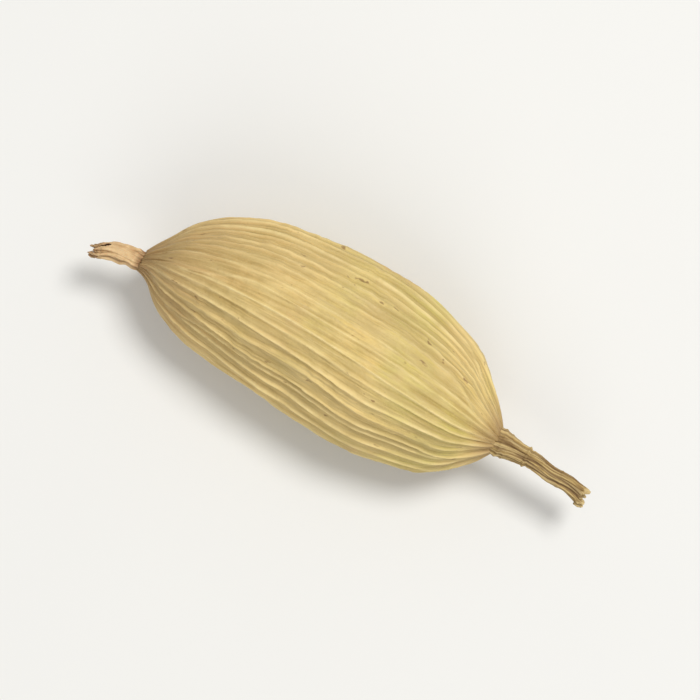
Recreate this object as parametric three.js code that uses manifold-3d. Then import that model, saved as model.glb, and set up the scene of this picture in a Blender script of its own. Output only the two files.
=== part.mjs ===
// A dried green cardamom pod: a rounded three-sided capsule with a stub of stalk at one end and the
// shrivelled remains of its flower at the other. It lies on one of its three faces.
// Millimetres, +Z up. +X runs from the flower end to the stalk end. The origin is on the surface that
// the pod lies on, under the middle of its bounding box.

import * as THREE from "three";
import { mergeVertices } from "three/addons/utils/BufferGeometryUtils.js";
import Module from "manifold-3d";

// Driving dimensions
const CAPSULE_LENGTH = 14.6;
const CAPSULE_WIDTH = 6.5;
const CAPSULE_HEIGHT = 6.0;
const STALK_LENGTH = 3.9;
const STALK_DIAMETER = 0.75;
const FLOWER_LENGTH = 1.9;
const FLOWER_DIAMETER = 0.95;

// Shape of the capsule
const SIDES = 3;
const KEEL_RISE = 0.07; // how far a rounded corner stands out, and a face sinks, as a share of the radius
const REST_DEPTH = 0.13; // how much of the rounded underside the flat resting spot takes away

// Joint faces between the pieces
const STALK_SEAT_RADIUS = 0.55;
const FLOWER_SEAT_RADIUS = 0.42;
const SEAT_GAP = 0.05;

// How the ends hang off the capsule, in the view from above
const BODY_BOW = 0.72; // the middle line's greatest sideways bow, towards +Y
const BOW_SKEW = 0.62; // under 1, the bow is greatest nearer the flower end
const STALK_SWAY = -0.46; // sideways run of the stalk by its cut end
const STALK_DROOP = -0.35;
const FLOWER_SWAY = -0.55;
const FLOWER_DROOP = -0.15;

// Facets around each piece and along it
const CAPSULE_FACETS = { around: 48, along: 34 };
const STALK_FACETS = { around: 14, along: 14 };
const FLOWER_FACETS = { around: 14, along: 10 };
const MERGE_DISTANCE = 1e-4;

const HUSK_GREEN = 0xcdb878;
const STALK_BUFF = 0xb79b70;
const FLOWER_BUFF = 0xc09c6e;

const wasm = await Module();
wasm.setup();

// Half-widths along the capsule, as shares of its length and of its greatest half-width.
const capsuleProfile = new THREE.SplineCurve([
  new THREE.Vector2(0, FLOWER_SEAT_RADIUS / (CAPSULE_WIDTH / 2)),
  new THREE.Vector2(0.03, 0.27),
  new THREE.Vector2(0.08, 0.53),
  new THREE.Vector2(0.17, 0.76),
  new THREE.Vector2(0.31, 0.91),
  new THREE.Vector2(0.5, 0.99),
  new THREE.Vector2(0.65, 1.0),
  new THREE.Vector2(0.78, 0.89),
  new THREE.Vector2(0.88, 0.73),
  new THREE.Vector2(0.955, 0.43),
  new THREE.Vector2(1, STALK_SEAT_RADIUS / (CAPSULE_WIDTH / 2)),
]);

// The middle line's bow at a share of the capsule's length, none at either end.
function bowAt(share) {
  return BODY_BOW * Math.sin(Math.PI * Math.pow(share, BOW_SKEW));
}

// A lathed solid lying along +X, with every vertex then moved by shape(share, radius, angle).
// The profile holds (distance along, radius) pairs, and both ends are closed by flat discs.
function lathedAlongX(profile, around, shape) {
  const first = profile[0];
  const last = profile[profile.length - 1];
  const outline = [new THREE.Vector2(0, first.x), ...profile.map((p) => new THREE.Vector2(p.y, p.x))];
  outline.push(new THREE.Vector2(0, last.x));
  const geometry = new THREE.LatheGeometry(outline, around);
  geometry.deleteAttribute("normal");
  geometry.deleteAttribute("uv");
  const closed = mergeVertices(geometry, MERGE_DISTANCE);
  const position = closed.getAttribute("position");
  const length = last.x - first.x;
  for (let i = 0; i < position.count; i++) {
    const along = position.getY(i);
    const radius = Math.hypot(position.getX(i), position.getZ(i));
    const angle = Math.atan2(position.getX(i), position.getZ(i));
    const moved = shape((along - first.x) / length, radius, angle);
    position.setXYZ(i, along, moved.y, moved.z);
  }
  return closed;
}

// The rounded triangle of the capsule's section: one keel straight up, one face straight down.
function keelFactor(angle) {
  return 1 + KEEL_RISE * Math.cos(SIDES * (angle - Math.PI / 2));
}

function toSolid(geometry) {
  const vertProperties = geometry.getAttribute("position").array;
  const triVerts = new Uint32Array(geometry.index.array);
  return new wasm.Manifold(new wasm.Mesh({ numProp: 3, vertProperties, triVerts }));
}

function toGeometry(solid) {
  const mesh = solid.getMesh();
  const geometry = new THREE.BufferGeometry();
  geometry.setAttribute("position", new THREE.BufferAttribute(mesh.vertProperties, 3));
  geometry.setIndex(new THREE.BufferAttribute(mesh.triVerts, 1));
  return geometry;
}

const heightShare = CAPSULE_HEIGHT / CAPSULE_WIDTH;
const middleHeight = (1 - KEEL_RISE) * (CAPSULE_WIDTH / 2) * heightShare - REST_DEPTH;

function capsuleGeometry() {
  const outline = capsuleProfile
    .getPoints(CAPSULE_FACETS.along)
    .map((point) => new THREE.Vector2(point.x * CAPSULE_LENGTH, (point.y * CAPSULE_WIDTH) / 2));
  const round = lathedAlongX(outline, CAPSULE_FACETS.around, (share, radius, angle) => {
    const reach = radius * keelFactor(angle);
    return {
      y: bowAt(share) + reach * Math.cos(angle),
      z: middleHeight + reach * Math.sin(angle) * heightShare,
    };
  });
  const below = new THREE.BoxGeometry(4 * CAPSULE_LENGTH, 4 * CAPSULE_WIDTH, CAPSULE_HEIGHT);
  below.translate(0, 0, -CAPSULE_HEIGHT / 2);
  below.deleteAttribute("normal");
  below.deleteAttribute("uv");
  return toGeometry(toSolid(round).subtract(toSolid(mergeVertices(below))));
}

// A thin twig: a swollen collar against the capsule, a long waist and a slightly splayed cut end.
function stalkGeometry() {
  const radius = STALK_DIAMETER / 2;
  const start = CAPSULE_LENGTH + SEAT_GAP;
  const outline = new THREE.SplineCurve([
    new THREE.Vector2(start, STALK_SEAT_RADIUS),
    new THREE.Vector2(start + 0.08 * STALK_LENGTH, STALK_SEAT_RADIUS * 0.98),
    new THREE.Vector2(start + 0.22 * STALK_LENGTH, radius * 1.08),
    new THREE.Vector2(start + 0.55 * STALK_LENGTH, radius * 0.95),
    new THREE.Vector2(start + 0.88 * STALK_LENGTH, radius),
    new THREE.Vector2(start + STALK_LENGTH, radius * 1.12),
  ]);
  const { around, along } = STALK_FACETS;
  return lathedAlongX(outline.getPoints(along), around, (share, reach, angle) => ({
    y: STALK_SWAY * share * share + reach * Math.cos(angle),
    z: middleHeight + STALK_DROOP * share * share + reach * Math.sin(angle),
  }));
}

// The dried flower: a short crumpled tube that narrows from the capsule's neck to a ragged tip.
function flowerGeometry() {
  const radius = FLOWER_DIAMETER / 2;
  const start = -SEAT_GAP;
  const outline = new THREE.SplineCurve([
    new THREE.Vector2(start - FLOWER_LENGTH, radius * 0.5),
    new THREE.Vector2(start - 0.8 * FLOWER_LENGTH, radius * 0.78),
    new THREE.Vector2(start - 0.45 * FLOWER_LENGTH, radius * 0.82),
    new THREE.Vector2(start - 0.12 * FLOWER_LENGTH, radius),
    new THREE.Vector2(start, FLOWER_SEAT_RADIUS),
  ]);
  const { around, along } = FLOWER_FACETS;
  return lathedAlongX(outline.getPoints(along), around, (share, reach, angle) => {
    const away = 1 - share;
    return {
      y: FLOWER_SWAY * away * away + reach * Math.cos(angle),
      z: middleHeight + FLOWER_DROOP * away * away + reach * Math.sin(angle),
    };
  });
}

function piece(name, geometry, color, roughness) {
  const mesh = new THREE.Mesh(geometry, new THREE.MeshStandardMaterial({ color, roughness, metalness: 0 }));
  mesh.name = name;
  return mesh;
}

const pod = new THREE.Group();
pod.add(piece("capsule", capsuleGeometry(), HUSK_GREEN, 0.6));
pod.add(piece("stalk_stub", stalkGeometry(), STALK_BUFF, 0.8));
pod.add(piece("dried_flower_tip", flowerGeometry(), FLOWER_BUFF, 0.85));

// The whole pod is moved so that the middle of its bounding box stands over the origin.
const bounds = new THREE.Box3().setFromObject(pod, true);
const middle = bounds.getCenter(new THREE.Vector3());
pod.position.set(-middle.x, -middle.y, 0);

const part = new THREE.Group();
part.add(pod);

export default part;
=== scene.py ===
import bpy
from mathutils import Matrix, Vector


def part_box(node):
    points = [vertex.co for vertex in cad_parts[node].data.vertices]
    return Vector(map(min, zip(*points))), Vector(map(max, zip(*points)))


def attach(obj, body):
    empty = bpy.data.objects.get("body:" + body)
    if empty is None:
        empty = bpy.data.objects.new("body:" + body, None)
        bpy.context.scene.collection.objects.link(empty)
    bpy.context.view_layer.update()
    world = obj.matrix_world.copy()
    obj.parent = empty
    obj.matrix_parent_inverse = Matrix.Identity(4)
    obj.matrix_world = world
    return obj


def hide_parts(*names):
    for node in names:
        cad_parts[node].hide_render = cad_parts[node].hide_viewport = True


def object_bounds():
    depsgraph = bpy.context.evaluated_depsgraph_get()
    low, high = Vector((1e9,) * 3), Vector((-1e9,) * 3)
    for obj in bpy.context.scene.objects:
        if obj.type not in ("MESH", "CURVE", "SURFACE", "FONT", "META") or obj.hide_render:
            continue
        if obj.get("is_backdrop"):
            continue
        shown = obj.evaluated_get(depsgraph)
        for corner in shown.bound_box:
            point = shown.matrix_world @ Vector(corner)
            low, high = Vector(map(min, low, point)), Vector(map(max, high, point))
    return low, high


bl_info = {
    "name": "Green Cardamom Pod",
    "version": (1, 0, 0),
    "blender": (4, 5, 0),
    "location": "3D View > Sidebar > Cardamom",
    "description": "Models a dried green cardamom pod with its stalk stub and dried flower remains",
    "category": "Object",
}

import math
import random
from collections import namedtuple

import bpy
import numpy as np
from bpy.props import FloatProperty, FloatVectorProperty, IntProperty, PointerProperty
from mathutils import Vector, noise

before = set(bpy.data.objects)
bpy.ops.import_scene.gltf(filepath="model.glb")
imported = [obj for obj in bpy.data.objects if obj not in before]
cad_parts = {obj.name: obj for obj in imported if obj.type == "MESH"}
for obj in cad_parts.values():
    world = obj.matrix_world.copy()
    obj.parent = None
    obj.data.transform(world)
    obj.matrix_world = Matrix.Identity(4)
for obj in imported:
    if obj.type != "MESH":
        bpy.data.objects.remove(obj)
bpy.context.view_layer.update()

MM = 0.001
FULL_TURN = 2 * math.pi

# The pod lies along X: the flower end is at low X and the stalk end at high X.
CAPSULE_LOW, CAPSULE_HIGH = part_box("capsule")
STALK_LOW, STALK_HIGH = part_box("stalk_stub")
FLOWER_LOW, FLOWER_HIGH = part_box("dried_flower_tip")

# Sides of each piece's first disc, the rings extruded from it, and how often its surface is then subdivided.
HUSK_SIDES = 168
HUSK_RINGS = 34
HUSK_SUBDIVISIONS = 2
STALK_SIDES = 22
STALK_RINGS = 20
STALK_SUBDIVISIONS = 3
FLOWER_SIDES = 20
FLOWER_RINGS = 12
FLOWER_SUBDIVISIONS = 3
THREAD_SIDES = 8
THREAD_RINGS = 14
THREAD_SUBDIVISIONS = 1

# How far the stalk and the flower reach into the husk's ends, past the CAD's gap between them.
SEATING = 0.12 * MM

# To how many digits of a metre the vertices of a CAD ring agree along X, and doubled vertices agree.
RING_DIGITS = 6
VERTEX_DIGITS = 7

# A ring that a piece is extruded through: its centre and its half-sizes across and up.
Ring = namedtuple("Ring", "centre wide high")

# A noise that shapes a piece: the size of its lumps, a shift that sets it apart from the others, how much it
# is squeezed along the piece and across it (under 1 it is drawn out), and its height.
Noise = namedtuple("Noise", "size shift along across height", defaults=(1, 1, 1))

# A ridge right round a piece: where it is and how wide, as shares of the length, and its height as a share
# of the radius, below 0 for a groove.
Band = namedtuple("Band", "share height width")

# A pattern painted on a piece: its lumps to a millimetre, how much it is squeezed along the piece (under 1 it
# is drawn out), and the detail and roughness of the noise.
Pattern = namedtuple("Pattern", "per_mm along detail roughness", defaults=(1, 3.0, 0.55))

# The husk's three rounded corners, as angles round it from +Y towards +Z, and the faces between them.
KEEL_ANGLES = [math.radians(a) for a in (90, 210, 330)]
FACE_ANGLES = [math.radians(a) for a in (30, 150, 270)]
FACE_GROOVE_WIDTH = 0.75 * MM
# A fine seam runs along each keel, this deep as a share of a rib's height, and wanders by a small angle.
SEAM_DEPTH = 0.4
SEAM_WIDTH = 0.07 * MM
SEAM_WANDER = 0.03
SEAM_WAVES = 9

# The ribs are followed at this many places along the husk. How far each starts off its even place, and sways,
# are shares of the angle between two ribs.
RIB_STATIONS = 81
RIB_JITTER = 0.24
RIB_SWAY = 0.16
RIB_WAVES = (0.6, 1.6)
# By chance some ribs run into a neighbour towards the flower end, and as many towards the stalk end. The
# reach is the share of the husk's length over which two ribs draw together. In its last part they are one.
RIB_MERGE_CHANCE = 0.22
RIB_MERGE_REACH = (0.12, 0.3)
RIB_MERGED_PART = 0.35
# Some ribs are stronger than others. Between two of them, the strength of one passes into the other's.
RIB_STRENGTHS = (0.35, 0.6, 0.8, 1.0, 1.2)
RIB_BLEND = (0.25, 0.75)
# No cord stands out by more than this share of the gap to the next one.
RIB_HEIGHT_IN_GAP = 0.14
# Where two ribs are one, the angle between them counts as this, so that nothing is divided by zero.
SMALLEST_ANGLE = 1e-9
# How much of a wrinkle a rib holds flat.
RIB_STIFFNESS = 0.6

# Stretches of the husk, as shares of its length from the flower end, where its relief sets in or fades out.
BODY_BEGINS = (0.0, 0.12)
BODY_ENDS = (0.9, 1.0)
FLOWER_END_PUCKERS = (0.01, 0.09)
STALK_END_PUCKERS = (0.9, 0.98)
STALK_END_FOLDS = (0.86, 0.97)
# Inside these radii the folds and puckers fade out, so that the ends still meet the stalk and the flower.
FOLD_FADE_RADIUS = 1.2 * MM
PUCKER_FADE_RADIUS = 1.1 * MM

RIB_UNEVENNESS = Noise(1.1 * MM, shift=11.0, height=0.6)
SINK_UNEVENNESS = Noise(0.9 * MM, shift=5.0, height=0.6)
HUSK_DENTS = Noise(2.3 * MM, shift=3.0, height=0.65)
HUSK_FOLDS = Noise(0.8 * MM, shift=21.0, along=0.2, height=0.09 * MM)
HUSK_PUCKERS = Noise(1.1 * MM, shift=13.0, along=0.1)
HUSK_WRINKLES = Noise(0.65 * MM, shift=8.0, along=1.9)
HUSK_WRINKLED_PATCHES = Noise(1.8 * MM, shift=30.0)
HUSK_FIBRES = Noise(0.24 * MM, shift=2.0, along=0.1, height=2.5)
# The whole body sinks by this share of a dent's depth. Wrinkles set in between these two noise values.
DENT_SINK = 0.35
WRINKLE_ONSET = (-0.45, 0.25)

# The furrows of the stalk and the folds of the flower are worked out on circles of these radii.
STALK_LOOP = 0.4 * MM
FLOWER_LOOP = 0.42 * MM

# The stalk's broken end, from the bark inwards: the widths of its rings, and how deep its pith has shrunk.
BREAK_RINGS = (0.06 * MM, 0.08 * MM, 0.09 * MM)
PITH_DEPTH = 0.16 * MM

STALK_FURROWS = Noise(0.22 * MM, shift=4.0, along=0.07)
STALK_FIBRES = Noise(0.085 * MM, shift=6.0, along=0.04)
STALK_LUMPS = Noise(0.8 * MM, shift=12.0, height=0.09)
STALK_CREASES = Noise(0.4 * MM, shift=17.0, along=2.5, height=0.03)
STALK_KINKS = Noise(0.9 * MM, shift=41.0, across=0, height=0.07 * MM)
SPLINTERS = Noise(0.13 * MM, shift=9.0, along=0)
SPLINTER_TIPS = Noise(0.3 * MM, shift=3.0, height=0.6)
# Stretches of the stalk, as shares of its length from the husk, where its kinks and splinters set in.
STALK_BENDS = (0.05, 0.3)
STALK_SPLINTERS = (0.88, 1.0)
# The broken end is set back by this many times the splinter depth, to end about where the CAD model does.
SPLINTER_SET_BACK = 1.2

# The scars that fallen scale leaves left on the stalk. Each leans along it, in a direction of its own.
STALK_SCARS = (
    Band(share=0.03, height=0.08, width=0.02),
    Band(share=0.1, height=0.05, width=0.01),
    Band(share=0.31, height=0.15, width=0.011),
    Band(share=0.34, height=-0.08, width=0.013),
    Band(share=0.68, height=0.06, width=0.012),
)
SCAR_LEAN = 0.012
SCAR_TURN = 9

FLOWER_FOLDS = Noise(0.22 * MM, shift=14.0, along=0.12)
FLOWER_FIBRES = Noise(0.08 * MM, shift=5.0, along=0.06)
FLOWER_CRUMPLES = Noise(0.5 * MM, shift=2.0, height=0.22)
FLOWER_PUCKERS = Noise(0.4 * MM, shift=7.0, along=2.4, height=0.05)
LOBE_CURLS = Noise(0.3 * MM, shift=23.0, along=0, height=0.5)
FRAYS = Noise(0.2 * MM, shift=31.0, along=0)
FRAY_TIPS = Noise(0.07 * MM, shift=33.0, height=0.6)
FLOWER_FIBRE_DEPTH = 0.06
FLOWER_WAIST = Band(share=0.2, height=-0.12, width=0.08)
# Stretches of the flower, as shares of its length from the husk, where it begins to crumple, curl and fray.
FLOWER_CRUMPLED = (0.0, 0.45)
FLOWER_CURLED = (0.7, 1.0)
FLOWER_FRAYED = (0.6, 1.0)
# The torn edge is set back by this share of the fray, and no tip of it reaches out by more than that one.
FRAY_SET_BACK = 0.6
FRAY_REACH_OUT = 0.1

# The sides of the flower's tube that are slit from its end, and how many rings deep.
FLOWER_SLITS = {2: 4, 3: 1, 7: 2, 8: 1, 11: 5, 12: 2, 16: 3, 17: 1}

# The dead thread: its length and sway, how far it winds sideways and upwards, in radians, and the share of
# its thickness that it loses by its end.
THREAD_LENGTH = 0.95 * MM
THREAD_SWAY = 0.09 * MM
THREAD_WINDS = (4.5, 3.5)
THREAD_TAPER = 0.5
# What the flower's material reads all over the thread: it is half in a fold, without fibres, near the edge.
THREAD_LOOK = {"fold": 0.3, "fibre": 0.0, "share": 0.9}

# Patterns of the materials.
HUSK_WASH = Pattern(0.2)
HUSK_TAN_PATCHES = Pattern(0.33, detail=4.0)
HUSK_STREAKS = Pattern(3.2, along=0.09, detail=4.0)
HUSK_GRAIN = Pattern(9.0, along=0.07, detail=5.0, roughness=0.6)
HUSK_SMUDGES = Pattern(0.75, along=0.6, detail=6.0, roughness=0.65)
# Patches where the painted highlight along the rib crests is stronger.
HUSK_RIB_HIGHLIGHT_PATCHES = Pattern(1.1)
HUSK_BLOTS = Pattern(0.9, along=0.5, detail=5.0, roughness=0.7)
HUSK_SPECKS = Pattern(3.0, along=0.6, detail=2.0)
HUSK_CRACKLE = Pattern(6.0, along=1.6)
STALK_STREAKS = Pattern(7.0, along=0.1, detail=5.0, roughness=0.65)
STALK_MOTTLE = Pattern(2.4, along=0.4, detail=4.0)
STALK_LINES = Pattern(16.0, along=0.05, detail=4.0, roughness=0.6)
FLOWER_STREAKS = Pattern(8.0, along=0.12, detail=5.0, roughness=0.65)
FLOWER_MOTTLE = Pattern(2.2, detail=4.0)
FLOOR_CLOUDS = Pattern(0.05)

# How the photograph looks at the pod: from straight above, with the pod's +X this far below the right.
POD_TURN_IN_VIEW = math.radians(26.9)
POD_SHARE_OF_FRAME = 0.8
SENSOR_WIDTH_MM = 36.0
# What the camera sees begins this many times nearer than the pod and ends this many times farther off.
CLIP_NEARER = 100
CLIP_FARTHER = 20

# The floor and the two round lamps, in metres. Both lamps point at the origin.
FLOOR_SIZE = 4
FLOOR_DARKER = 0.97
KEY_PLACE = Vector((0.065, 0.17, 0.35))
KEY_SIZE = 0.14
FILL_PLACE = Vector((0.14, -0.29, 0.26))
FILL_SIZE = 0.3

# What the settings of one kind share.
LENGTH = {"precision": 6, "subtype": "DISTANCE", "unit": "LENGTH"}
COLOUR = {"subtype": "COLOR", "size": 3}


def tint(red, green, blue):
    """A colour given as it looks on screen, from 0 to 255, in the linear values that shaders work in."""
    values = [channel / 255 for channel in (red, green, blue)]
    return tuple(v / 12.92 if v <= 0.04045 else ((v + 0.055) / 1.055) ** 2.4 for v in values)


class HuskSettings(bpy.types.PropertyGroup):
    """Sizes and colours of the husk."""

    rib_count: IntProperty(
        name="Ribs", description="Lengthwise ribs round the husk", default=34, min=12, max=48
    )
    rib_height: FloatProperty(
        name="Rib height",
        description="How far a rib's cord stands out of the skin beside it",
        default=0.08 * MM,
        **LENGTH,
    )
    rib_width: FloatProperty(
        name="Rib width", description="Half the width of a rib's cord", default=0.06 * MM, **LENGTH
    )
    skin_sink: FloatProperty(
        name="Skin sink",
        description="How far the dried skin sinks between two ribs, as a share of the gap between them",
        default=0.09,
        subtype="FACTOR",
        min=0,
        max=0.3,
    )
    dent_depth: FloatProperty(
        name="Dent depth",
        description="How deep the broad hollows are where the drying husk has drawn in between its seeds",
        default=0.15 * MM,
        **LENGTH,
    )
    face_groove: FloatProperty(
        name="Face groove",
        description="Depth of the shallow lengthwise hollow down the middle of each face",
        default=0.1 * MM,
        **LENGTH,
    )
    wrinkle_depth: FloatProperty(
        name="Wrinkle depth",
        description="Depth of the fine wrinkles that cross the skin between the ribs",
        default=0.06 * MM,
        **LENGTH,
    )
    pucker_depth: FloatProperty(
        name="Pucker depth",
        description="Depth of the furrows where the skin is drawn together at both ends",
        default=0.13 * MM,
        **LENGTH,
    )
    fibre_height: FloatProperty(
        name="Fibre height",
        description="Height of the thin lengthwise fibres in the skin between the ribs",
        default=0.022 * MM,
        **LENGTH,
    )
    twist: FloatProperty(
        name="Twist",
        description="How far the ribs turn round the husk from end to end",
        default=0.16,
        subtype="ANGLE",
    )
    seed: IntProperty(name="Seed", description="Picks another set of ribs", default=7, min=0)
    straw: FloatVectorProperty(
        name="Straw", description="Main colour", default=tint(231, 200, 127), **COLOUR
    )
    green: FloatVectorProperty(
        name="Green", description="Wash of green", default=tint(204, 189, 101), **COLOUR
    )
    tan: FloatVectorProperty(
        name="Tan", description="Patches of tan", default=tint(211, 173, 118), **COLOUR
    )
    # The grain and the fibres keep this paler colour as their own; laid on the rib crests it is a painted
    # highlight.
    pale_fibre_and_rib_highlight_colour: FloatVectorProperty(
        name="Rib colour",
        description="Colour of the ribs and of the palest fibres",
        default=tint(237, 214, 152),
        **COLOUR,
    )
    # The streaks, grain and smudges keep this darker colour as their own; laid deep between two ribs it is
    # painted shade.
    streak_and_shade_colour: FloatVectorProperty(
        name="Hollow colour",
        description="Colour of the skin deep between two ribs, and of its streaks and smudges",
        default=tint(176, 150, 89),
        **COLOUR,
    )
    end_colour: FloatVectorProperty(
        name="End colour",
        description="Brown at both ends and in the blots",
        default=tint(160, 122, 78),
        **COLOUR,
    )
    speck_colour: FloatVectorProperty(
        name="Speck colour", description="Small brown marks", default=tint(134, 98, 56), **COLOUR
    )


class StalkSettings(bpy.types.PropertyGroup):
    """Sizes and colours of the stalk stub."""

    furrow_depth: FloatProperty(
        name="Furrow depth",
        description="Depth of the lengthwise furrows, as a share of the stalk's radius",
        default=0.2,
        subtype="FACTOR",
        min=0,
        max=0.5,
    )
    fibre_depth: FloatProperty(
        name="Fibre depth",
        description="Depth of the gaps between the fine fibres, as a share of the stalk's radius",
        default=0.09,
        subtype="FACTOR",
        min=0,
        max=0.3,
    )
    twist: FloatProperty(
        name="Twist", description="How far the furrows turn from end to end", default=0.6, subtype="ANGLE"
    )
    splinter: FloatProperty(
        name="Splinter", description="How unevenly the far end is broken off", default=0.22 * MM, **LENGTH
    )
    bark: FloatVectorProperty(
        name="Bark", description="Main colour", default=tint(197, 167, 105), **COLOUR
    )
    furrow: FloatVectorProperty(
        name="Furrow",
        description="Colour in the furrows, the gaps between fibres and the dark lines",
        default=tint(108, 80, 50),
        **COLOUR,
    )
    patch: FloatVectorProperty(
        name="Patch", description="Darker patches on the bark", default=tint(152, 119, 70), **COLOUR
    )
    cut: FloatVectorProperty(
        name="Cut",
        description="Pale wood at the broken end, and the palest fibres",
        default=tint(217, 193, 138),
        **COLOUR,
    )


class FlowerSettings(bpy.types.PropertyGroup):
    """Sizes and colours of the dried flower remains."""

    fold_depth: FloatProperty(
        name="Fold depth",
        description="Depth of the lengthwise folds, as a share of the tube's radius",
        default=0.26,
        subtype="FACTOR",
        min=0,
        max=0.5,
    )
    twist: FloatProperty(
        name="Twist", description="How far the folds turn from end to end", default=0.7, subtype="ANGLE"
    )
    fray: FloatProperty(
        name="Fray", description="How unevenly the far edge is torn", default=0.3 * MM, **LENGTH
    )
    thread: FloatProperty(
        name="Thread", description="Radius of the dead thread at its root", default=0.045 * MM, **LENGTH
    )
    wall: FloatProperty(
        name="Wall", description="Thickness of the papery wall", default=0.06 * MM, **LENGTH
    )
    skin: FloatVectorProperty(
        name="Skin", description="Main colour", default=tint(226, 194, 146), **COLOUR
    )
    vein: FloatVectorProperty(
        name="Vein", description="Darker streaks and patches", default=tint(188, 148, 100), **COLOUR
    )
    edge: FloatVectorProperty(
        name="Edge",
        description="Brown of the torn edge, the folds and the joint with the husk",
        default=tint(142, 104, 66),
        **COLOUR,
    )


class StageSettings(bpy.types.PropertyGroup):
    """The floor, the lights and the camera."""

    floor_colour: FloatVectorProperty(
        name="Floor", description="Colour of the floor", default=tint(228, 227, 223), **COLOUR
    )
    key_power: FloatProperty(
        name="Key light", description="Power of the soft main light", default=1.04, unit="POWER", min=0
    )
    fill_power: FloatProperty(
        name="Fill light",
        description="Power of the light from the other side",
        default=0.42,
        unit="POWER",
        min=0,
    )
    room_light: FloatProperty(
        name="Room light", description="Strength of the even light from all round", default=0.48, min=0
    )
    lens: FloatProperty(
        name="Lens", description="Focal length in millimetres", default=200, unit="CAMERA", min=50, max=400
    )


def deselect_all():
    if bpy.context.object and bpy.context.object.mode != "OBJECT":
        bpy.ops.object.mode_set(mode="OBJECT")
    bpy.ops.object.select_all(action="DESELECT")


def make_active(piece):
    deselect_all()
    piece.select_set(True)
    bpy.context.view_layer.objects.active = piece


def extrude_through(name, sides, rings):
    """A closed tube: a disc that faces along X, extruded from ring to ring."""
    deselect_all()
    first = rings[0]
    bpy.ops.mesh.primitive_circle_add(
        vertices=sides,
        radius=first.wide,
        fill_type="NGON",
        location=first.centre,
        rotation=(0, FULL_TURN / 4, 0),
    )
    piece = bpy.context.object
    piece.name = name
    piece.data.name = name
    bpy.ops.object.mode_set(mode="EDIT")
    bpy.ops.transform.resize(value=(1, 1, first.high / first.wide), center_override=first.centre)
    for before, after in zip(rings, rings[1:]):
        step = after.centre - before.centre
        bpy.ops.mesh.extrude_region_move(TRANSFORM_OT_translate={"value": step})
        growth = (1, after.wide / before.wide, after.high / before.high)
        bpy.ops.transform.resize(value=growth, center_override=after.centre)
    bpy.ops.mesh.select_all(action="SELECT")
    bpy.ops.mesh.normals_make_consistent(inside=False)
    bpy.ops.object.mode_set(mode="OBJECT")
    bpy.ops.object.transform_apply(location=True, rotation=True, scale=True)
    return piece


def edit_faces(piece, wanted):
    """Opens the piece for editing with only the wanted faces selected. wanted says yes or no to a face."""
    make_active(piece)
    bpy.ops.object.mode_set(mode="EDIT")
    bpy.ops.mesh.select_mode(type="FACE")
    bpy.ops.mesh.select_all(action="DESELECT")
    bpy.ops.object.mode_set(mode="OBJECT")
    for face in piece.data.polygons:
        face.select = wanted(face)
    bpy.ops.object.mode_set(mode="EDIT")


def crease_ends(piece, sides):
    """Keeps the rims of the two end discs sharp when the piece is subdivided."""
    edit_faces(piece, lambda face: len(face.vertices) == sides)
    bpy.ops.transform.edge_crease(value=1)
    bpy.ops.object.mode_set(mode="OBJECT")


def apply_modifier(piece, kind, **settings):
    """Adds a modifier, sets it up and applies it."""
    make_active(piece)
    bpy.ops.object.modifier_add(type=kind)
    modifier = piece.modifiers[-1]
    for name, value in settings.items():
        setattr(modifier, name, value)
    bpy.ops.object.modifier_apply(modifier=modifier.name)


def subdivide(piece, levels):
    apply_modifier(piece, "SUBSURF", levels=levels, render_levels=levels)


def finish_piece(piece, node):
    """Shades a new piece smoothly and puts it in the place of its CAD node."""
    make_active(piece)
    bpy.ops.object.shade_smooth()
    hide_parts(node)
    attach(piece, "root")


def read_vectors(mesh, what):
    values = np.empty(len(mesh.vertices) * 3)
    mesh.vertices.foreach_get(what, values)
    return values.reshape(-1, 3)


def write_places(mesh, places):
    mesh.vertices.foreach_set("co", places.ravel())
    mesh.update()


def store(mesh, name, values):
    """Keeps a number or a vector for each vertex, for the piece's material to read."""
    is_vector = values.ndim == 2
    layer = mesh.attributes.new(name, "FLOAT_VECTOR" if is_vector else "FLOAT", "POINT")
    layer.data.foreach_set("vector" if is_vector else "value", values.ravel().astype(np.float32))


def bumps_at(points, kind):
    """Smooth noise at each point, from about minus to plus the noise's height."""
    squeezed = points * np.array([kind.along, kind.across, kind.across])
    return kind.height * np.array([noise.noise(Vector(p)) for p in squeezed / kind.size + kind.shift])


def ridges_at(points, kind):
    """Broad ridges, 1 along their tops, parted by narrow furrows that go down to 0."""
    steepness = 3.2
    return np.minimum(1, steepness * np.abs(bumps_at(points, kind)))


def smooth_step(between, values):
    """0 up to the first of two numbers, 1 from the second on, and a smooth rise between them."""
    low, high = between
    share = np.clip((values - low) / (high - low), 0, 1)
    return share * share * (3 - 2 * share)


def hump(values, width):
    return np.exp(-((values / width) ** 2))


def turn_between(first, second):
    """The angle from first to second, from minus to plus half a turn."""
    return (second - first + math.pi) % FULL_TURN - math.pi


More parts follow.
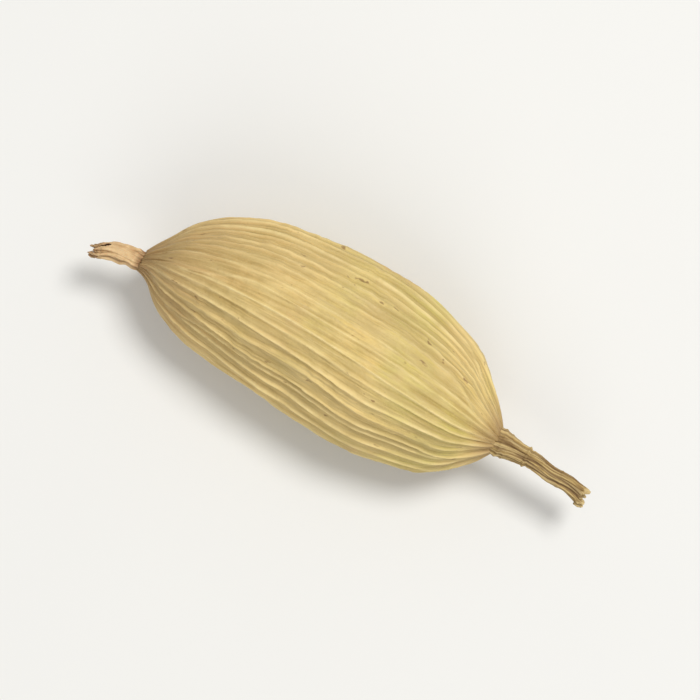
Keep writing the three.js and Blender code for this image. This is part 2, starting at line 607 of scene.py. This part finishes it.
class CadRings:
    """The middle line and the half-sizes of a CAD node, read ring by ring along X."""

    def __init__(self, node):
        places = read_vectors(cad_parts[node].data, "co")
        stations = np.unique(np.round(places[:, 0], RING_DIGITS))
        on_ring = [np.abs(places[:, 0] - x) < 10**-RING_DIGITS for x in stations]
        rings = [np.unique(places[chosen].round(VERTEX_DIGITS), axis=0) for chosen in on_ring]
        fullest = max(len(ring) for ring in rings)
        rings = [ring for ring in rings if len(ring) > fullest / 2]
        self.x = np.array([ring[:, 0].mean() for ring in rings])
        self.middle = np.array([(ring[:, 1].max() + ring[:, 1].min()) / 2 for ring in rings])
        self.wide = np.array([(ring[:, 1].max() - ring[:, 1].min()) / 2 for ring in rings])
        self.top = np.array([ring[:, 2].max() for ring in rings])
        self.bottom = np.array([ring[:, 2].min() for ring in rings])
        self.height = (self.top + self.bottom) / 2

    def ring_at(self, x):
        """The ring at x, or past either end of the node the end ring's size and place across."""
        low, high = np.interp(x, self.x, self.bottom), np.interp(x, self.x, self.top)
        centre = Vector((x, np.interp(x, self.x, self.middle), (low + high) / 2))
        return Ring(centre, np.interp(x, self.x, self.wide), (high - low) / 2)

    def middle_beside(self, places):
        """The middle line's y and z beside each place."""
        return np.interp(places[:, 0], self.x, self.middle), np.interp(places[:, 0], self.x, self.height)


def angle_round(places, middle_y, middle_z):
    """The angle of each place round the middle line, from +Y towards +Z."""
    return np.arctan2(places[:, 2] - middle_z, places[:, 1] - middle_y)


def loop_points(along, angle, radius):
    """Points on a straight tube, so that noise read there follows a bent piece without a seam."""
    return np.stack([along, radius * np.cos(angle), radius * np.sin(angle)], axis=1)


def rib_lines(settings, stations):
    """The angle of each rib at each station along the husk. Some ribs run into a neighbour before an end."""
    pick = random.Random(settings.seed)
    count = settings.rib_count
    pitch = FULL_TURN / count
    starts = [pitch * (k + pick.uniform(-RIB_JITTER, RIB_JITTER)) for k in range(count)]
    spiral = settings.twist * (stations - 0.5)
    lines = []
    for start in starts:
        sway = RIB_SWAY * pitch * pick.uniform(-1, 1)
        phase = pick.uniform(0, FULL_TURN)
        waves = FULL_TURN * stations * pick.uniform(*RIB_WAVES)
        lines.append(start + spiral + sway * np.sin(waves + phase))
    lines = np.array(lines)
    for k in range(count):
        chance = pick.random()
        reach = pick.uniform(*RIB_MERGE_REACH)
        merged = reach * RIB_MERGED_PART
        neighbour = lines[(k + 1) % count] + (FULL_TURN if k + 1 == count else 0)
        if chance < RIB_MERGE_CHANCE:
            lines[k] += (neighbour - lines[k]) * (1 - smooth_step((merged, reach), stations))
        elif chance < 2 * RIB_MERGE_CHANCE:
            lines[k] += (neighbour - lines[k]) * smooth_step((1 - reach, 1 - merged), stations)
    return lines


def rib_relief(settings, share, angle, radius, places):
    """Relief of the ribs at each vertex, in metres, and how much it is a rib and a hollow, from 0 to 1."""
    stations = np.linspace(0, 1, RIB_STATIONS)
    lines = rib_lines(settings, stations)
    ahead = np.empty((len(lines), len(share)))
    behind = np.empty_like(ahead)
    for k, line in enumerate(lines):
        at_vertex = np.interp(share, stations, line)
        ahead[k] = (at_vertex - angle) % FULL_TURN
        behind[k] = (angle - at_vertex) % FULL_TURN
    next_rib, last_rib = ahead.argmin(0), behind.argmin(0)
    to_next, to_last = ahead.min(0), behind.min(0)
    gap = (to_next + to_last) * radius
    across = to_last / np.maximum(to_next + to_last, SMALLEST_ANGLE)

    pick = random.Random(settings.seed + 1)
    strengths = np.array([pick.choice(RIB_STRENGTHS) for _ in lines])
    blend = smooth_step(RIB_BLEND, across)
    strength = strengths[last_rib] * (1 - blend) + strengths[next_rib] * blend
    strength *= 1 + bumps_at(places, RIB_UNEVENNESS)

    hollow = 4 * across * (1 - across)
    sink = settings.skin_sink * gap * hollow * (1 + bumps_at(places, SINK_UNEVENNESS))
    near = np.minimum(to_next, to_last) * radius
    cord = hump(near, settings.rib_width) * strength
    height = np.minimum(settings.rib_height, RIB_HEIGHT_IN_GAP * gap)
    return cord * height - sink, np.clip(cord, 0, 1), hollow


class CARDAMOM_OT_husk(bpy.types.Operator):
    """Model the husk: a rounded three-sided capsule with ribs, hollows and fine wrinkles"""

    bl_idname = "cardamom.husk"
    bl_label = "Husk"

    def execute(self, context):
        settings = context.scene.cardamom_husk
        cad = CadRings("capsule")
        length = CAPSULE_HIGH.x - CAPSULE_LOW.x
        rings = [cad.ring_at(CAPSULE_LOW.x + length * share) for share in self.ring_shares()]
        husk = extrude_through("husk", HUSK_SIDES, rings)
        apply_modifier(husk, "SHRINKWRAP", target=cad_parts["capsule"])
        crease_ends(husk, HUSK_SIDES)
        subdivide(husk, HUSK_SUBDIVISIONS)
        self.sculpt(husk.data, settings, cad, length)
        husk.data.materials.append(husk_material(settings))
        finish_piece(husk, "capsule")
        return {"FINISHED"}

    def ring_shares(self):
        """Where the rings stand along the husk, closer together towards both ends."""
        even = np.linspace(0, 1, HUSK_RINGS + 1)
        crowded = (1 - np.cos(math.pi * even)) / 2
        return (even + crowded) / 2

    def sculpt(self, mesh, settings, cad, length):
        """Moves every vertex along its normal by the ribs, hollows and wrinkles."""
        places = read_vectors(mesh, "co")
        normals = read_vectors(mesh, "normal")
        share = np.clip((places[:, 0] - CAPSULE_LOW.x) / length, 0, 1)
        middle_y, _ = cad.middle_beside(places)
        middle_z = cad.height[0]
        angle = angle_round(places, middle_y, middle_z)
        radius = np.hypot(places[:, 1] - middle_y, places[:, 2] - middle_z)
        along_fibre = loop_points(share * length, angle, np.max(radius))
        body = smooth_step(BODY_BEGINS, share) * (1 - smooth_step(BODY_ENDS, share))

        relief, rib, hollow = rib_relief(settings, share, angle, radius, places)
        relief -= settings.dent_depth * body * (DENT_SINK + bumps_at(places, HUSK_DENTS))
        for face in FACE_ANGLES:
            off = turn_between(face, angle) * radius
            relief -= settings.face_groove * body * hump(off, FACE_GROOVE_WIDTH)
        for keel in KEEL_ANGLES:
            off = turn_between(keel + SEAM_WANDER * np.sin(share * SEAM_WAVES), angle) * radius
            relief -= SEAM_DEPTH * settings.rib_height * body * hump(off, SEAM_WIDTH)

        folds = bumps_at(along_fibre, HUSK_FOLDS) * smooth_step(STALK_END_FOLDS, share)
        relief += folds * np.minimum(1, radius / FOLD_FADE_RADIUS)
        drawn_in = smooth_step(STALK_END_PUCKERS, share) + 1 - smooth_step(FLOWER_END_PUCKERS, share)
        pucker = 1 - ridges_at(along_fibre, HUSK_PUCKERS)
        relief -= settings.pucker_depth * drawn_in * pucker * np.minimum(1, radius / PUCKER_FADE_RADIUS)
        patchy = smooth_step(WRINKLE_ONSET, bumps_at(places, HUSK_WRINKLED_PATCHES))
        wrinkles = settings.wrinkle_depth * bumps_at(along_fibre, HUSK_WRINKLES)
        relief += wrinkles * patchy * (1 - RIB_STIFFNESS * rib) * body
        fibre = 1 - np.abs(bumps_at(along_fibre, HUSK_FIBRES))
        relief += settings.fibre_height * fibre * (1 - rib) * body

        places += normals * relief[:, None]
        places[:, 2] = np.maximum(places[:, 2], 0)
        write_places(mesh, places)
        store(mesh, "along_fibre", along_fibre)
        store(mesh, "rib", rib)
        store(mesh, "hollow", hollow)
        store(mesh, "fibre", np.clip(fibre, 0, 1))
        store(mesh, "share", share)


class CARDAMOM_OT_stalk_stub(bpy.types.Operator):
    """Model the stalk stub: a dry furrowed twig with a swollen collar and a splintered end"""

    bl_idname = "cardamom.stalk_stub"
    bl_label = "Stalk Stub"

    def execute(self, context):
        settings = context.scene.cardamom_stalk
        cad = CadRings("stalk_stub")
        stations = np.linspace(CAPSULE_HIGH.x - SEATING, STALK_HIGH.x, STALK_RINGS + 1)
        stalk = extrude_through("stalk", STALK_SIDES, [cad.ring_at(x) for x in stations])
        self.break_end(stalk)
        crease_ends(stalk, STALK_SIDES)
        subdivide(stalk, STALK_SUBDIVISIONS)
        self.sculpt(stalk.data, settings, cad)
        stalk.data.materials.append(stalk_material(settings))
        finish_piece(stalk, "stalk_stub")
        return {"FINISHED"}

    def break_end(self, stalk):
        """Insets the end disc into rings of bark and wood round a hollow of shrunken pith."""
        edit_faces(stalk, lambda face: len(face.vertices) == STALK_SIDES and face.center.x > STALK_LOW.x)
        for width in BREAK_RINGS:
            bpy.ops.mesh.inset(thickness=width)
        bpy.ops.transform.translate(value=(-PITH_DEPTH, 0, 0))
        bpy.ops.object.mode_set(mode="OBJECT")

    def sculpt(self, mesh, settings, cad):
        """Cuts furrows along the twig, raises its fibres and scars, and kinks and splinters it."""
        places = read_vectors(mesh, "co")
        share = (places[:, 0] - STALK_LOW.x) / (STALK_HIGH.x - STALK_LOW.x)
        middle_y, middle_z = cad.middle_beside(places)
        angle = angle_round(places, middle_y, middle_z)
        around = loop_points(places[:, 0] - STALK_LOW.x, angle + settings.twist * share, STALK_LOOP)
        furrow = ridges_at(around, STALK_FURROWS)
        fibre = ridges_at(around, STALK_FIBRES)
        scale = 1 - settings.furrow_depth * (1 - furrow) - settings.fibre_depth * (1 - fibre)
        scale += bumps_at(around, STALK_LUMPS) + bumps_at(around, STALK_CREASES)
        for scar in STALK_SCARS:
            lean = SCAR_LEAN * np.sin(angle + SCAR_TURN * scar.share)
            scale += scar.height * hump(share - scar.share - lean, scar.width)
        kink = bumps_at(around, STALK_KINKS) * smooth_step(STALK_BENDS, share)
        places[:, 1] = middle_y + (places[:, 1] - middle_y) * scale + kink
        places[:, 2] = middle_z + (places[:, 2] - middle_z) * scale + kink
        splinter = ridges_at(around, SPLINTERS) + bumps_at(around, SPLINTER_TIPS) - SPLINTER_SET_BACK
        places[:, 0] += smooth_step(STALK_SPLINTERS, share) * settings.splinter * splinter
        write_places(mesh, places)
        store(mesh, "around", around)
        store(mesh, "furrow", furrow)
        store(mesh, "fibre", fibre)
        store(mesh, "share", share)


class CARDAMOM_OT_dried_flower(bpy.types.Operator):
    """Model the dried flower remains: a shrivelled papery tube with torn lobes and a dead thread"""

    bl_idname = "cardamom.dried_flower"
    bl_label = "Dried Flower"

    def execute(self, context):
        settings = context.scene.cardamom_flower
        cad = CadRings("dried_flower_tip")
        stations = np.linspace(CAPSULE_LOW.x + SEATING, FLOWER_LOW.x, FLOWER_RINGS + 1)
        flower = extrude_through("dried_flower", FLOWER_SIDES, [cad.ring_at(x) for x in stations])
        self.tear_open(flower, cad)
        apply_modifier(flower, "SOLIDIFY", thickness=settings.wall, offset=-1)
        subdivide(flower, FLOWER_SUBDIVISIONS)
        self.sculpt(flower.data, settings, cad)
        thread = self.grow_thread(settings, cad)
        make_active(flower)
        thread.select_set(True)
        bpy.ops.object.join()
        flower.data.materials.append(flower_material(settings))
        finish_piece(flower, "dried_flower_tip")
        return {"FINISHED"}

    def tear_open(self, flower, cad):
        """Deletes the end disc, and slits the wall from its end into lobes."""
        ring_step = (CAPSULE_LOW.x + SEATING - FLOWER_LOW.x) / FLOWER_RINGS

        def is_torn_away(face):
            if len(face.vertices) == FLOWER_SIDES:
                return face.center.x < CAPSULE_LOW.x
            place = np.array([face.center])
            angle = angle_round(place, *cad.middle_beside(place))
            side = int(angle[0] / FULL_TURN % 1 * FLOWER_SIDES)
            return face.center.x < FLOWER_LOW.x + FLOWER_SLITS.get(side, 0) * ring_step

        edit_faces(flower, is_torn_away)
        bpy.ops.mesh.delete(type="FACE")
        bpy.ops.object.mode_set(mode="OBJECT")

    def sculpt(self, mesh, settings, cad):
        """Shrivels the tube into lengthwise folds, and frays and curls its lobes."""
        places = read_vectors(mesh, "co")
        share = np.clip((FLOWER_HIGH.x - places[:, 0]) / (FLOWER_HIGH.x - FLOWER_LOW.x), 0, 1)
        middle_y, middle_z = cad.middle_beside(places)
        angle = angle_round(places, middle_y, middle_z)
        around = loop_points(places[:, 0] - FLOWER_LOW.x, angle + settings.twist * share, FLOWER_LOOP)
        fold = ridges_at(around, FLOWER_FOLDS)
        fibre = ridges_at(around, FLOWER_FIBRES)
        scale = 1 - settings.fold_depth * (1 - fold) - FLOWER_FIBRE_DEPTH * (1 - fibre)
        crumple = bumps_at(around, FLOWER_CRUMPLES) + bumps_at(around, FLOWER_PUCKERS)
        waist = FLOWER_WAIST.height * hump(share - FLOWER_WAIST.share, FLOWER_WAIST.width)
        scale += smooth_step(FLOWER_CRUMPLED, share) * crumple + waist
        scale += smooth_step(FLOWER_CURLED, share) * bumps_at(around, LOBE_CURLS)
        places[:, 1] = middle_y + (places[:, 1] - middle_y) * scale
        places[:, 2] = middle_z + (places[:, 2] - middle_z) * scale
        fray = bumps_at(around, FRAYS) + bumps_at(around, FRAY_TIPS)
        torn_back = np.maximum(FRAY_SET_BACK - fray, -FRAY_REACH_OUT)
        places[:, 0] += smooth_step(FLOWER_FRAYED, share) * settings.fray * torn_back
        write_places(mesh, places)
        store(mesh, "around", around)
        store(mesh, "fold", fold)
        store(mesh, "fibre", fibre)
        store(mesh, "share", share)

    def grow_thread(self, settings, cad):
        """The dead thread in the tube's torn mouth, which wound as it dried."""
        rings = []
        for step in range(THREAD_RINGS + 1):
            along = step / THREAD_RINGS
            x = FLOWER_LOW.x + THREAD_LENGTH * (1 - along)
            sideways, up = (wind * along for wind in THREAD_WINDS)
            sway = Vector((0, math.sin(sideways), math.cos(up))) * THREAD_SWAY
            thickness = settings.thread * (1 - THREAD_TAPER * along)
            rings.append(Ring(cad.ring_at(x).centre + sway, thickness, thickness))
        thread = extrude_through("dead_thread", THREAD_SIDES, rings)
        subdivide(thread, THREAD_SUBDIVISIONS)
        places = read_vectors(thread.data, "co")
        store(thread.data, "around", places)
        for name, value in THREAD_LOOK.items():
            store(thread.data, name, np.full(len(places), value))
        return thread


def add_node(tree, kind, inputs=None, **settings):
    """Adds a shader node. inputs gives its sockets, by name or number, a value or another node's output."""
    made = tree.nodes.new(kind)
    for name, value in settings.items():
        setattr(made, name, value)
    for socket, value in (inputs or {}).items():
        if isinstance(value, bpy.types.NodeSocket):
            tree.links.new(value, made.inputs[socket])
        else:
            made.inputs[socket].default_value = value
    return made


def mix(tree, share, first, second):
    """Mixes two colours, each a socket or a colour."""
    sides = [c if isinstance(c, bpy.types.NodeSocket) else (*c, 1.0) for c in (first, second)]
    sockets = {0: share, 6: sides[0], 7: sides[1]}
    return add_node(tree, "ShaderNodeMix", sockets, data_type="RGBA").outputs[2]


def attribute(tree, name, output="Fac"):
    return add_node(tree, "ShaderNodeAttribute", attribute_name=name).outputs[output]


def object_place(tree):
    return add_node(tree, "ShaderNodeTexCoord").outputs["Object"]


def pattern(tree, vector, kind):
    """Noise from 0 to 1 of the given kind."""
    if kind.along != 1:
        squeeze = {"Vector": vector, "Scale": (kind.along, 1, 1)}
        vector = add_node(tree, "ShaderNodeMapping", squeeze).outputs["Vector"]
    sockets = {
        "Vector": vector,
        "Scale": kind.per_mm / MM,
        "Detail": kind.detail,
        "Roughness": kind.roughness,
    }
    return add_node(tree, "ShaderNodeTexNoise", sockets).outputs["Fac"]


def remap(tree, value, between, to=(0.0, 1.0)):
    """Turns a value that lies between two numbers smoothly into one between two others."""
    names = ("From Min", "From Max", "To Min", "To Max")
    sockets = {"Value": value, **dict(zip(names, (*between, *to)))}
    return add_node(tree, "ShaderNodeMapRange", sockets, interpolation_type="SMOOTHSTEP").outputs["Result"]


def lay(tree, under, over, mask, between, to=(0.0, 1.0)):
    """Lays one colour over another, as strongly as the mask says once it is remapped."""
    return mix(tree, remap(tree, mask, between, to), under, over)


def product(tree, first, second):
    return add_node(tree, "ShaderNodeMath", {0: first, 1: second}, operation="MULTIPLY").outputs[0]


def larger(tree, first, second):
    return add_node(tree, "ShaderNodeMath", {0: first, 1: second}, operation="MAXIMUM").outputs[0]


def bump(tree, height, depth, strength=1.0, below=None):
    sockets = {"Height": height, "Distance": depth, "Strength": strength}
    if below is not None:
        sockets["Normal"] = below
    return add_node(tree, "ShaderNodeBump", sockets).outputs["Normal"]


def new_material(name):
    """A node material with a Principled shader, and its tree."""
    material = bpy.data.materials.new(name)
    material.use_nodes = True
    tree = material.node_tree
    return material, tree, tree.nodes["Principled BSDF"]


def husk_material(settings):
    """Papery husk: straw with a wash of green, darker streaks, painted shade deep between the ribs, a painted
    highlight along the rib crests, paler fibres, brown ends, tan patches, blots and small specks."""
    material, tree, shader = new_material("papery_husk")
    place = object_place(tree)
    along_fibre = attribute(tree, "along_fibre", "Vector")
    rib = attribute(tree, "rib")
    hollow = attribute(tree, "hollow")
    fibre = attribute(tree, "fibre")
    share = attribute(tree, "share")
    streaks = pattern(tree, along_fibre, HUSK_STREAKS)
    grain = pattern(tree, along_fibre, HUSK_GRAIN)
    smudges = pattern(tree, along_fibre, HUSK_SMUDGES)

    wash = remap(tree, pattern(tree, place, HUSK_WASH), between=(0.42, 0.62))
    greener_to_stalk = remap(tree, share, between=(0.1, 0.75), to=(0.5, 1.0))
    colour = mix(tree, product(tree, wash, greener_to_stalk), settings.straw, settings.green)
    tan_patches = remap(tree, pattern(tree, place, HUSK_TAN_PATCHES), between=(0.52, 0.7))
    tan_to_flower = remap(tree, share, between=(0.05, 0.6), to=(0.7, 0.0))
    colour = mix(tree, larger(tree, tan_patches, tan_to_flower), colour, settings.tan)

    colour = lay(tree, colour, settings.streak_and_shade_colour, streaks, between=(0.35, 0.62), to=(0.5, 0.0))
    colour = lay(tree, colour, settings.streak_and_shade_colour, grain, between=(0.38, 0.56), to=(0.5, 0.0))
    colour = lay(tree, colour, settings.pale_fibre_and_rib_highlight_colour, grain, between=(0.54, 0.7), to=(0.0, 0.35))
    colour = lay(tree, colour, settings.streak_and_shade_colour, smudges, between=(0.42, 0.62), to=(0.3, 0.0))
    fibre_strength = 0.3
    colour = mix(tree, product(tree, fibre, fibre_strength), colour, settings.pale_fibre_and_rib_highlight_colour)
    # Painted shade: the colour darkens deep in the hollows between the ribs, unevenly as the smudge noise
    # says.
    deep = remap(tree, hollow, between=(0.35, 1.0), to=(0.0, 0.45))
    uneven = remap(tree, smudges, between=(0.3, 0.6), to=(1.0, 0.4))
    colour = mix(tree, product(tree, deep, uneven), colour, settings.streak_and_shade_colour)
    # Painted highlight: the rib crests are laid paler, more in some patches than in others.
    rib_highlight = remap(tree, pattern(tree, place, HUSK_RIB_HIGHLIGHT_PATCHES), between=(0.3, 0.7), to=(0.3, 0.85))
    colour = mix(tree, product(tree, rib, rib_highlight), colour, settings.pale_fibre_and_rib_highlight_colour)

    neck = remap(tree, share, between=(0.0, 0.1), to=(0.85, 0.0))
    shoulder = remap(tree, share, between=(0.04, 0.26), to=(0.4, 0.0))
    stalk_end = remap(tree, share, between=(0.93, 1.0), to=(0.0, 0.7))
    browning = larger(tree, larger(tree, neck, shoulder), stalk_end)
    ragged = product(tree, browning, remap(tree, streaks, between=(0.3, 0.7), to=(0.6, 1.2)))
    colour = mix(tree, ragged, colour, settings.end_colour)
    blots = pattern(tree, along_fibre, HUSK_BLOTS)
    colour = lay(tree, colour, settings.end_colour, blots, between=(0.63, 0.75), to=(0.0, 0.45))
    specks = pattern(tree, along_fibre, HUSK_SPECKS)
    colour = lay(tree, colour, settings.speck_colour, specks, between=(0.69, 0.76), to=(0.0, 0.75))
    tree.links.new(colour, shader.inputs["Base Color"])

    rough = remap(tree, grain, between=(0.3, 0.7), to=(0.42, 0.62))
    tree.links.new(rough, shader.inputs["Roughness"])
    crackle = bump(tree, pattern(tree, along_fibre, HUSK_CRACKLE), depth=0.03 * MM, strength=0.8)
    tree.links.new(bump(tree, grain, depth=0.05 * MM, below=crackle), shader.inputs["Normal"])
    shader.inputs["Specular IOR Level"].default_value = 0.4
    shader.inputs["Subsurface Weight"].default_value = 0.04
    shader.inputs["Subsurface Radius"].default_value = (1.0, 0.7, 0.3)
    shader.inputs["Subsurface Scale"].default_value = 0.2 * MM
    return material


def stalk_material(settings):
    """Dry twig: pale fibres with brown furrows and lines, mottled bark and a pale broken end."""
    material, tree, shader = new_material("dry_twig")
    around = attribute(tree, "around", "Vector")
    furrow = attribute(tree, "furrow")
    fibre = attribute(tree, "fibre")
    share = attribute(tree, "share")
    streaks = pattern(tree, around, STALK_STREAKS)
    mottle = pattern(tree, around, STALK_MOTTLE)
    lines = pattern(tree, around, STALK_LINES)

    colour = lay(tree, settings.bark, settings.furrow, streaks, between=(0.36, 0.58), to=(0.7, 0.0))
    colour = lay(tree, colour, settings.patch, mottle, between=(0.5, 0.68), to=(0.0, 0.7))
    colour = lay(tree, colour, settings.cut, fibre, between=(0.5, 1.0), to=(0.0, 0.5))
    colour = lay(tree, colour, settings.furrow, lines, between=(0.38, 0.55), to=(0.55, 0.0))
    colour = lay(tree, colour, settings.furrow, fibre, between=(0.0, 0.5), to=(0.5, 0.0))
    colour = lay(tree, colour, settings.furrow, furrow, between=(0.0, 0.6), to=(0.75, 0.0))
    colour = lay(tree, colour, settings.cut, share, between=(0.95, 0.985), to=(0.0, 0.75))
    tree.links.new(colour, shader.inputs["Base Color"])

    rough = remap(tree, streaks, between=(0.3, 0.7), to=(0.6, 0.85))
    tree.links.new(rough, shader.inputs["Roughness"])
    fine = bump(tree, lines, depth=0.03 * MM)
    tree.links.new(bump(tree, streaks, depth=0.06 * MM, below=fine), shader.inputs["Normal"])
    shader.inputs["Specular IOR Level"].default_value = 0.3
    return material


def flower_material(settings):
    """Dead flower: thin buff paper, browner in its folds, at the husk and towards its torn edge."""
    material, tree, shader = new_material("dried_petal")
    around = attribute(tree, "around", "Vector")
    fold = attribute(tree, "fold")
    fibre = attribute(tree, "fibre")
    share = attribute(tree, "share")
    streaks = pattern(tree, around, FLOWER_STREAKS)
    mottle = pattern(tree, around, FLOWER_MOTTLE)

    colour = lay(tree, settings.skin, settings.vein, streaks, between=(0.35, 0.62), to=(0.6, 0.0))
    colour = lay(tree, colour, settings.vein, mottle, between=(0.48, 0.68), to=(0.0, 0.55))
    colour = lay(tree, colour, settings.skin, fibre, between=(0.5, 1.0), to=(0.0, 0.4))
    colour = lay(tree, colour, settings.edge, fold, between=(0.0, 0.6), to=(0.7, 0.0))
    at_husk = remap(tree, share, between=(0.0, 0.12), to=(0.9, 0.0))
    at_edge = remap(tree, share, between=(0.6, 1.0), to=(0.0, 0.7))
    uneven = remap(tree, streaks, between=(0.3, 0.7), to=(1.0, 0.4))
    withered = product(tree, larger(tree, at_edge, at_husk), uneven)
    colour = mix(tree, withered, colour, settings.edge)
    tree.links.new(colour, shader.inputs["Base Color"])

    rough = remap(tree, streaks, between=(0.3, 0.7), to=(0.55, 0.8))
    tree.links.new(rough, shader.inputs["Roughness"])
    tree.links.new(bump(tree, streaks, depth=0.05 * MM), shader.inputs["Normal"])
    shader.inputs["Specular IOR Level"].default_value = 0.3
    shader.inputs["Subsurface Weight"].default_value = 0.06
    shader.inputs["Subsurface Scale"].default_value = 0.15 * MM
    return material


def floor_material(settings):
    """Matt pale floor with very faint clouds."""
    material, tree, shader = new_material("pale_floor")
    clouds = pattern(tree, object_place(tree), FLOOR_CLOUDS)
    darker = tuple(FLOOR_DARKER * channel for channel in settings.floor_colour)
    tree.links.new(mix(tree, clouds, settings.floor_colour, darker), shader.inputs["Base Color"])
    shader.inputs["Roughness"].default_value = 0.9
    shader.inputs["Specular IOR Level"].default_value = 0.2
    return material


class CARDAMOM_OT_stage(bpy.types.Operator):
    """Set the pale floor, the soft lights and the camera that looks down on the pod"""

    bl_idname = "cardamom.stage"
    bl_label = "Stage"

    def execute(self, context):
        settings = context.scene.cardamom_stage
        self.lay_floor(settings)
        self.hang_light("key_light", settings.key_power, KEY_SIZE, KEY_PLACE)
        self.hang_light("fill_light", settings.fill_power, FILL_SIZE, FILL_PLACE)
        self.light_room(context, settings)
        self.place_camera(context, settings)
        context.scene.view_settings.view_transform = "Standard"
        return {"FINISHED"}

    def lay_floor(self, settings):
        deselect_all()
        bpy.ops.mesh.primitive_plane_add(size=FLOOR_SIZE, location=(0, 0, 0))
        floor = bpy.context.object
        floor.name = "floor"
        floor.data.materials.append(floor_material(settings))
        floor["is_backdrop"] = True

    def hang_light(self, name, power, size, place):
        deselect_all()
        bpy.ops.object.light_add(type="AREA", location=place)
        lamp = bpy.context.object
        lamp.name = name
        lamp.data.shape = "DISK"
        lamp.data.size = size
        lamp.data.energy = power
        lamp.rotation_euler = (-place).to_track_quat("-Z", "Y").to_euler()

    def light_room(self, context, settings):
        world = bpy.data.worlds.new("soft_room")
        world.use_nodes = True
        background = world.node_tree.nodes["Background"]
        background.inputs["Color"].default_value = (1, 1, 1, 1)
        background.inputs["Strength"].default_value = settings.room_light
        context.scene.world = world

    def place_camera(self, context, settings):
        """Hangs the camera above the pod, as high as the lens needs for the pod to take up its share."""
        low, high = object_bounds()
        centre = (low + high) / 2
        view_width = (high.x - low.x) / POD_SHARE_OF_FRAME
        distance = view_width * settings.lens / SENSOR_WIDTH_MM
        deselect_all()
        bpy.ops.object.camera_add(
            location=(centre.x, centre.y, centre.z + distance), rotation=(0, 0, POD_TURN_IN_VIEW)
        )
        camera = bpy.context.object
        camera.name = "camera"
        camera.data.sensor_width = SENSOR_WIDTH_MM
        camera.data.lens = settings.lens
        camera.data.clip_start = distance / CLIP_NEARER
        camera.data.clip_end = distance * CLIP_FARTHER
        context.scene.camera = camera


STEPS = (CARDAMOM_OT_husk, CARDAMOM_OT_stalk_stub, CARDAMOM_OT_dried_flower, CARDAMOM_OT_stage)
SETTINGS = {
    "cardamom_husk": HuskSettings,
    "cardamom_stalk": StalkSettings,
    "cardamom_flower": FlowerSettings,
    "cardamom_stage": StageSettings,
}


class CARDAMOM_PT_pod(bpy.types.Panel):
    """Lists the steps that build the pod, with their sizes and colours"""

    bl_idname = "CARDAMOM_PT_pod"
    bl_label = "Green Cardamom Pod"
    bl_space_type = "VIEW_3D"
    bl_region_type = "UI"
    bl_category = "Cardamom"

    def draw(self, context):
        for step, name in zip(STEPS, SETTINGS):
            box = self.layout.box()
            box.operator(step.bl_idname)
            settings = getattr(context.scene, name)
            for key in SETTINGS[name].__annotations__:
                box.prop(settings, key)


def register():
    for kind in (*SETTINGS.values(), *STEPS, CARDAMOM_PT_pod):
        bpy.utils.register_class(kind)
    for name, kind in SETTINGS.items():
        setattr(bpy.types.Scene, name, PointerProperty(type=kind))


def unregister():
    for name in SETTINGS:
        delattr(bpy.types.Scene, name)
    for kind in (CARDAMOM_PT_pod, *reversed(STEPS), *reversed(SETTINGS.values())):
        bpy.utils.unregister_class(kind)


def main():
    register()
    bpy.ops.cardamom.husk()
    bpy.ops.cardamom.stalk_stub()
    bpy.ops.cardamom.dried_flower()
    bpy.ops.cardamom.stage()


if __name__ == "__main__":
    main()
